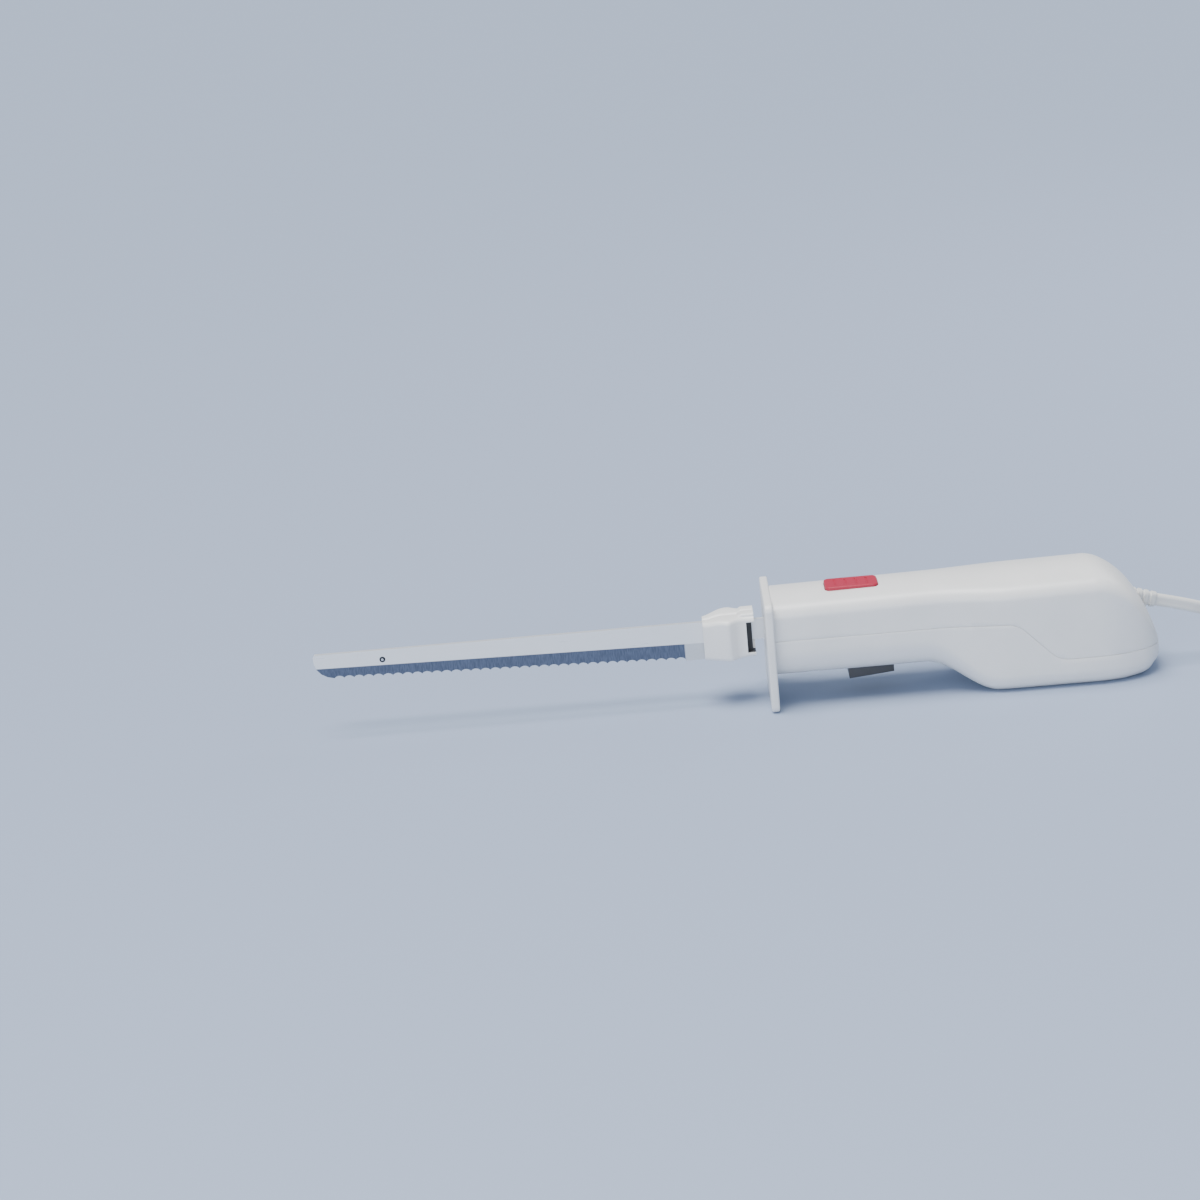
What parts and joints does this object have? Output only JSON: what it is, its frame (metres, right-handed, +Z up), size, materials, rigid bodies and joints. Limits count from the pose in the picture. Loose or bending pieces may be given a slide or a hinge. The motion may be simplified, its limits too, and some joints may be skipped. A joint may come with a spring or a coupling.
{
  "type": "electric carving knife",
  "caption": "Corded electric carving knife: two serrated blades side by side reciprocate from a white two-shell handle with a guard plate, trigger and release button.",
  "frame": {"origin": "middle of the knife's length and width, on the surface that it stands on (cord left out)", "axes": "+X from the blade tips to the rear of the handle, +Z up, -Y the left side for the hand that holds it"},
  "size_m": [0.6297, 0.0919, 0.0633],
  "materials": {
    "shell_plastic": "smooth white moulded plastic",
    "blade_steel": "ground stainless steel",
    "button_red": "red moulded plastic",
    "trigger_grey": "dark grey moulded plastic",
    "spring_steel": "spring steel",
    "inner_plastic": "moulded plastic",
    "gear_nylon": "natural nylon",
    "shaft_steel": "ground steel",
    "switch_black": "black",
    "brass_parts": "turned brass",
    "core_iron": "stacked laminations",
    "coil_copper": "enamelled copper",
    "cord_vinyl": "soft white vinyl"
  },
  "bodies": {
    "handle": {"upper_shell": "shell_plastic", "lower_shell": "shell_plastic", "guard_plate": "shell_plastic", "gear_frame": "inner_plastic", "gear_axle": "shaft_steel", "button_spring": "spring_steel", "trigger_pin": "shaft_steel", "switch_body": "switch_black", "front_bearing": "brass_parts", "rear_bearing": "brass_parts", "field_core": "core_iron", "field_coil_upper": "coil_copper", "field_coil_lower": "coil_copper", "carbon_brush_left": "switch_black", "carbon_brush_right": "switch_black", "brush_spring_left": "spring_steel", "brush_spring_right": "spring_steel", "brush_holder_left": "switch_black", "brush_holder_right": "switch_black", "motor_bracket": "inner_plastic", "shell_screws": "shaft_steel", "strain_relief": "cord_vinyl", "cord": "cord_vinyl", "cord_coil": "cord_vinyl", "cord_tail": "cord_vinyl", "plug_body": "cord_vinyl", "plug_blades": "brass_parts"},
    "armature": {"motor_shaft": "shaft_steel", "worm": "brass_parts", "cooling_fan": "inner_plastic", "armature_core": "core_iron", "armature_winding": "coil_copper", "commutator": "coil_copper"},
    "gear": {"drive_gear": "gear_nylon"},
    "left_slide": {"drive_slide_left": "inner_plastic"},
    "right_slide": {"drive_slide_right": "inner_plastic"},
    "left_latch": {"latch_lever_left": "inner_plastic"},
    "right_latch": {"latch_lever_right": "inner_plastic"},
    "left_blade": {"blade_left": "blade_steel", "thumb_collar_left": "shell_plastic", "tip_rivet": "blade_steel"},
    "right_blade": {"blade_right": "blade_steel", "thumb_collar_right": "shell_plastic"},
    "button": {"release_button": "button_red"},
    "trigger_lever": {"trigger": "trigger_grey"},
    "plunger": {"switch_plunger": "button_red"}
  },
  "joints": [
    {"name": "armature_spin", "type": "hinge", "parent": "handle", "child": "armature", "pos_m": [0.16, 0, 0.0257], "axis": [1, 0, 0], "continuous": true},
    {"name": "gear_spin", "type": "hinge", "parent": "handle", "child": "gear", "pos_m": [0.108, 0, 0.042], "axis": [0, 1, 0], "continuous": true},
    {"name": "left_drive", "type": "slide", "parent": "handle", "child": "left_slide", "axis": [1, 0, 0], "range_m": [-0.0045, 0.0045]},
    {"name": "right_drive", "type": "slide", "parent": "handle", "child": "right_slide", "axis": [1, 0, 0], "range_m": [-0.0045, 0.0045]},
    {"name": "left_blade_pull", "type": "slide", "parent": "left_slide", "child": "left_blade", "axis": [-1, 0, 0], "range_m": [0, 0.036]},
    {"name": "right_blade_pull", "type": "slide", "parent": "right_slide", "child": "right_blade", "axis": [-1, 0, 0], "range_m": [0, 0.036]},
    {"name": "button_press", "type": "slide", "parent": "handle", "child": "button", "axis": [0, 0, -1], "range_m": [0, 0.0025], "stiffness_N_per_m": 600, "springref_m": -0.002, "deforming": ["button_spring"]},
    {"name": "left_latch_tilt", "type": "hinge", "parent": "left_slide", "child": "left_latch", "pos_m": [0.0465, -0.003, 0.0522], "axis": [0, 1, 0], "range_deg": [0, 16.12]},
    {"name": "right_latch_tilt", "type": "hinge", "parent": "right_slide", "child": "right_latch", "pos_m": [0.0465, 0.003, 0.0522], "axis": [0, 1, 0], "range_deg": [0, 16.12]},
    {"name": "trigger_press", "type": "hinge", "parent": "handle", "child": "trigger_lever", "pos_m": [0.091, 0, 0.0218], "axis": [0, 1, 0], "range_deg": [0, 7], "stiffness_Nm_per_rad": 0.5, "springref_deg": -2.86},
    {"name": "plunger_press", "type": "slide", "parent": "handle", "child": "plunger", "axis": [0, 0, 1], "range_m": [0, 0.0025]}
  ],
  "couplings": [
    {"joint": "gear_spin", "follows": "armature_spin", "ratio": 0.027778},
    {"joint": "right_drive", "follows": "left_drive", "ratio": -1},
    {"joint": "right_blade_pull", "follows": "left_blade_pull", "ratio": 1},
    {"joint": "left_latch_tilt", "follows": "button_press", "rad_per_m": 111.11},
    {"joint": "right_latch_tilt", "follows": "button_press", "rad_per_m": 111.11},
    {"joint": "plunger_press", "follows": "trigger_press", "m_per_rad": 0.019644}
  ]
}
